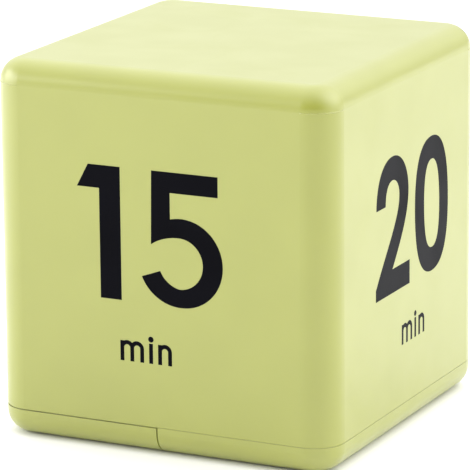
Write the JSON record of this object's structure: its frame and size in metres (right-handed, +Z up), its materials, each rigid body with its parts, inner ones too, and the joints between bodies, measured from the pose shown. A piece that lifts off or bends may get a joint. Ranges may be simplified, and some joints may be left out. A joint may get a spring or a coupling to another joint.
{
  "type": "kitchen timer",
  "caption": "Cube-shaped kitchen timer: turning a printed face upward starts that countdown; display, switch and sliding battery door underneath.",
  "frame": {"origin": "centre of the face that the timer stands on with the blank face up", "axes": "+Z up through the blank face, -Y out of the 15 minute face, +X out of the 20 minute face"},
  "size_m": [0.0636, 0.0636, 0.066],
  "materials": {
    "case_plastic": "satin lime ABS",
    "print_ink": "satin pad print",
    "window_plastic": "clear acrylic",
    "tape": "adhesive foam",
    "display_film": "polariser film",
    "display_glass": "polished",
    "display_ink": "liquid crystal segments",
    "display_reflector": "satin",
    "holder_plastic": "moulded",
    "connector_rubber": "matte silicone",
    "board_laminate": "solder mask",
    "resin": "glossy resin",
    "tinned_steel": "drawn",
    "capacitor_sleeve": "shrunk film",
    "chip_ceramic": "matte",
    "plug_plastic": "moulded",
    "gold_plating": "polished",
    "switch_plastic": "moulded",
    "phenolic": "matte",
    "sounder_plastic": "moulded",
    "sounder_brass": "rolled",
    "cell_can": "nickel plate",
    "cell_film": "printed film",
    "contact_steel": "nickel plate",
    "red_insulation": "soft PVC",
    "black_insulation": "soft PVC",
    "screw_steel": "zinc plate"
  },
  "bodies": {
    "case": {"upper_case": "case_plastic", "base_plate": "case_plastic", "print_15": "print_ink", "print_20": "print_ink", "print_30": "print_ink", "print_60": "print_ink", "lcd_window": "window_plastic", "lens_tape": "tape", "lcd_front_film": "display_film", "lcd_front_glass": "display_glass", "lcd_segments": "display_ink", "lcd_rear_glass": "display_glass", "lcd_reflector": "display_reflector", "lcd_holder": "holder_plastic", "rubber_connector": "connector_rubber", "circuit_board": "board_laminate", "chip_blob": "resin", "crystal": "tinned_steel", "capacitor": "capacitor_sleeve", "chip_parts": "chip_ceramic", "tilt_cans": "tinned_steel", "tilt_plugs": "plug_plastic", "tilt_pins": "gold_plating", "switch_case": "tinned_steel", "switch_base": "phenolic", "buzzer_can": "sounder_plastic", "buzzer_diaphragm": "sounder_brass", "buzzer_pins": "tinned_steel", "first_cell": "cell_can", "second_cell": "cell_can", "first_cell_sleeve": "cell_film", "second_cell_sleeve": "cell_film", "double_contact": "contact_steel", "positive_contact": "contact_steel", "negative_contact": "contact_steel", "positive_lead": "red_insulation", "negative_lead": "black_insulation", "case_screws": "screw_steel", "board_screws": "screw_steel"},
    "battery_door": {"battery_door": "case_plastic"},
    "switch_slider": {"switch_lever": "switch_plastic", "switch_knob": "switch_plastic"},
    "ball_15": {"tilt_ball_15": "gold_plating"},
    "ball_20": {"tilt_ball_20": "gold_plating"},
    "ball_30": {"tilt_ball_30": "gold_plating"},
    "ball_60": {"tilt_ball_60": "gold_plating"}
  },
  "joints": [
    {"name": "battery_door_slide", "type": "slide", "parent": "case", "child": "battery_door", "axis": [-1, 0, 0], "range_m": [0, 0.033]},
    {"name": "power_switch_slide", "type": "slide", "parent": "case", "child": "switch_slider", "axis": [0, 1, 0], "range_m": [0, 0.004]},
    {"name": "tilt_ball_15_roll", "type": "slide", "parent": "case", "child": "ball_15", "axis": [0, 0.9848, 0.1736], "range_m": [0, 0.0017]},
    {"name": "tilt_ball_20_roll", "type": "slide", "parent": "case", "child": "ball_20", "axis": [-0.9848, 0, 0.1736], "range_m": [0, 0.0017]},
    {"name": "tilt_ball_30_roll", "type": "slide", "parent": "case", "child": "ball_30", "axis": [0, -0.9848, 0.1736], "range_m": [0, 0.0017]},
    {"name": "tilt_ball_60_roll", "type": "slide", "parent": "case", "child": "ball_60", "axis": [0.9848, 0, 0.1736], "range_m": [0, 0.0017]}
  ]
}
